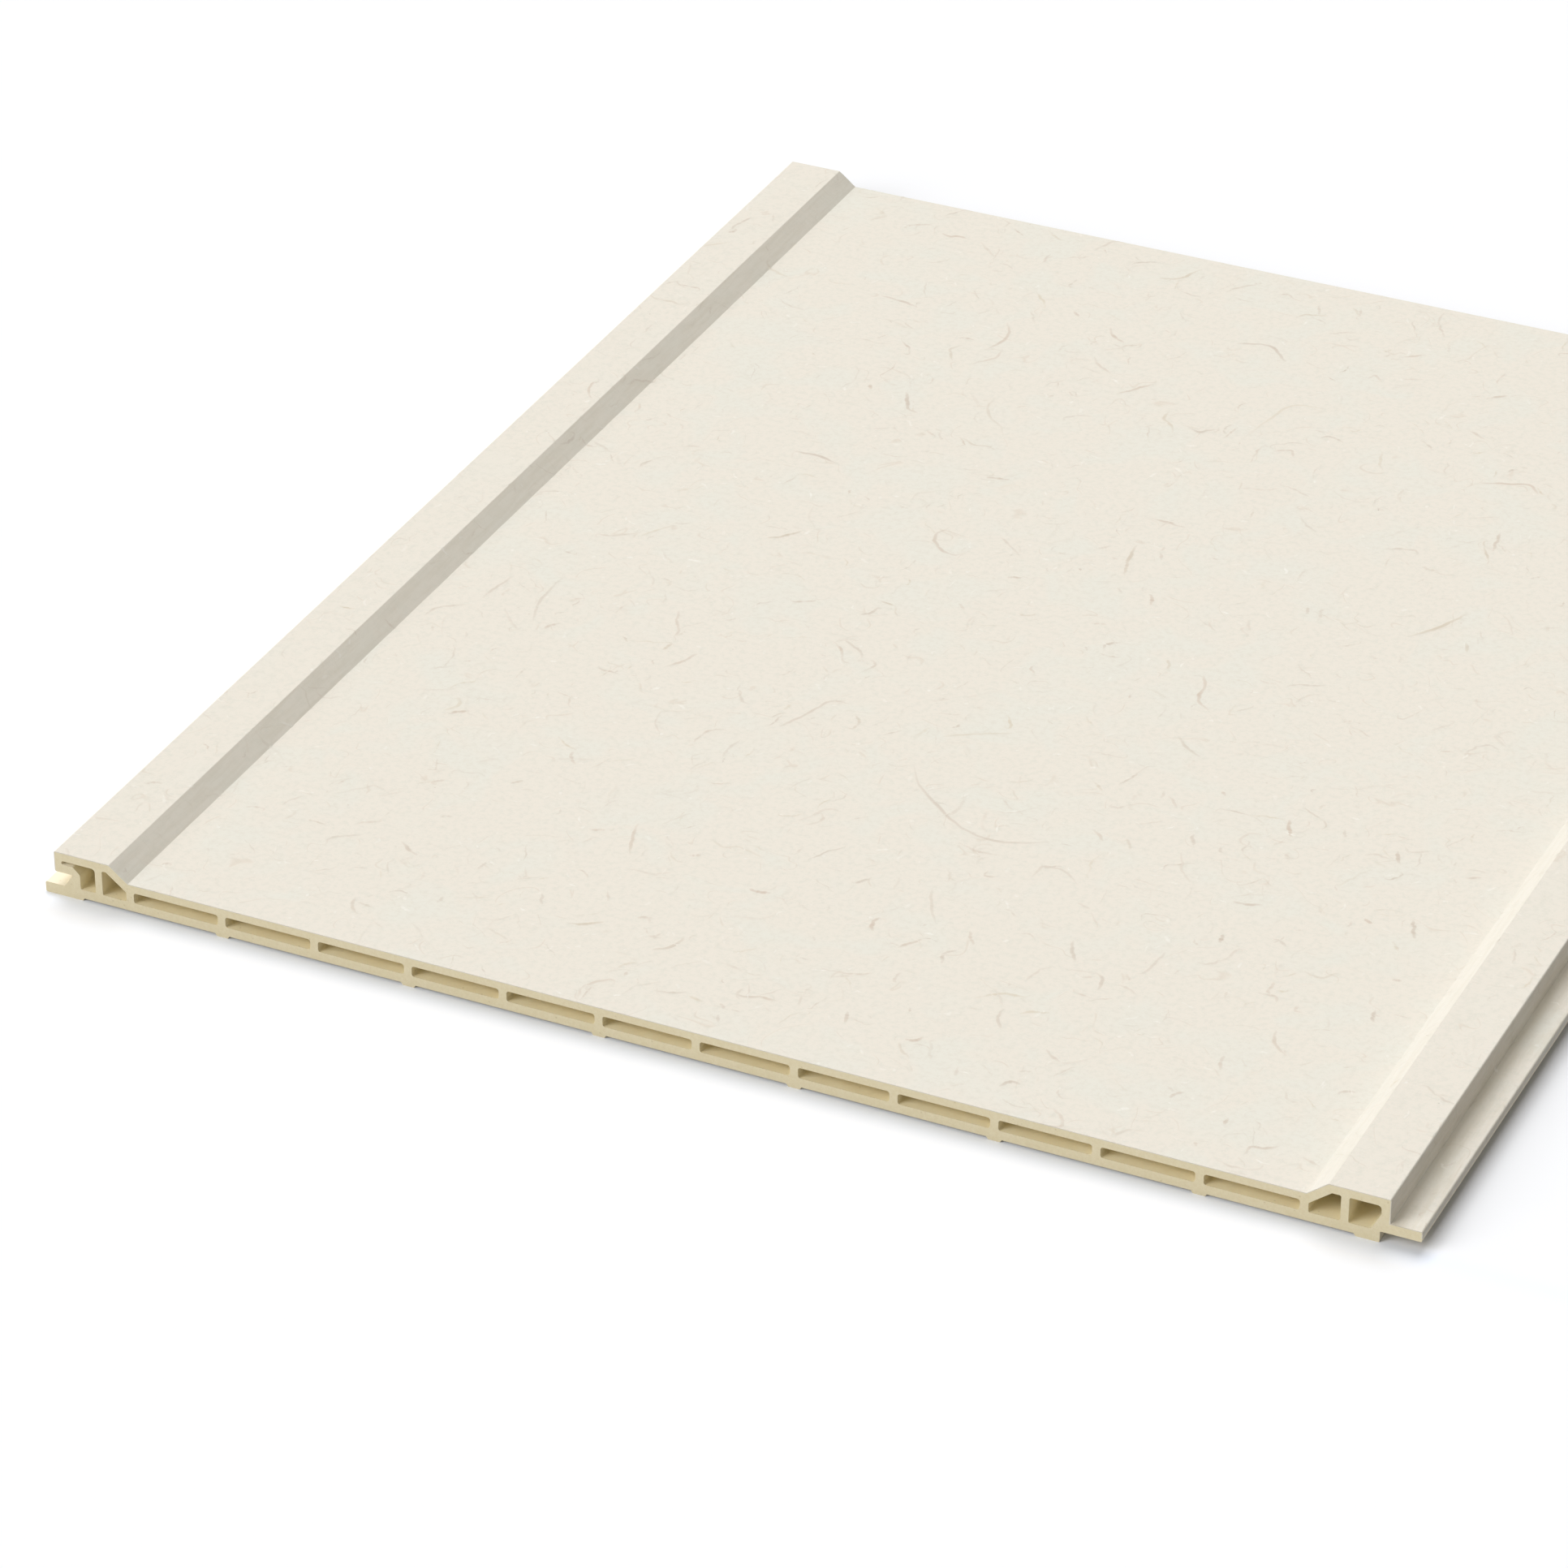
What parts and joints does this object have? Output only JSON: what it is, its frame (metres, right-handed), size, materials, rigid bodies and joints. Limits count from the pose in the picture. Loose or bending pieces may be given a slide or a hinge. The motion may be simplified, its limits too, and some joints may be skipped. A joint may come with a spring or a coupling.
{
  "type": "wall panel",
  "caption": "Hollow wood-plastic wall panel: a recessed flat field between raised edge strips, with a groove and lip along one edge and a tongue along the other.",
  "frame": {"origin": "middle of the rectangle that the panel covers on the floor, at the height of its back pads", "axes": "+X across the panel towards the tongue, +Y along the extrusion, +Z out of the finished face"},
  "size_m": [0.3092, 0.366, 0.0106],
  "materials": {
    "panel": "matt printed film on the face, bare extruded wood-plastic elsewhere"
  },
  "bodies": {
    "root": {"panel": "panel"}
  },
  "joints": []
}
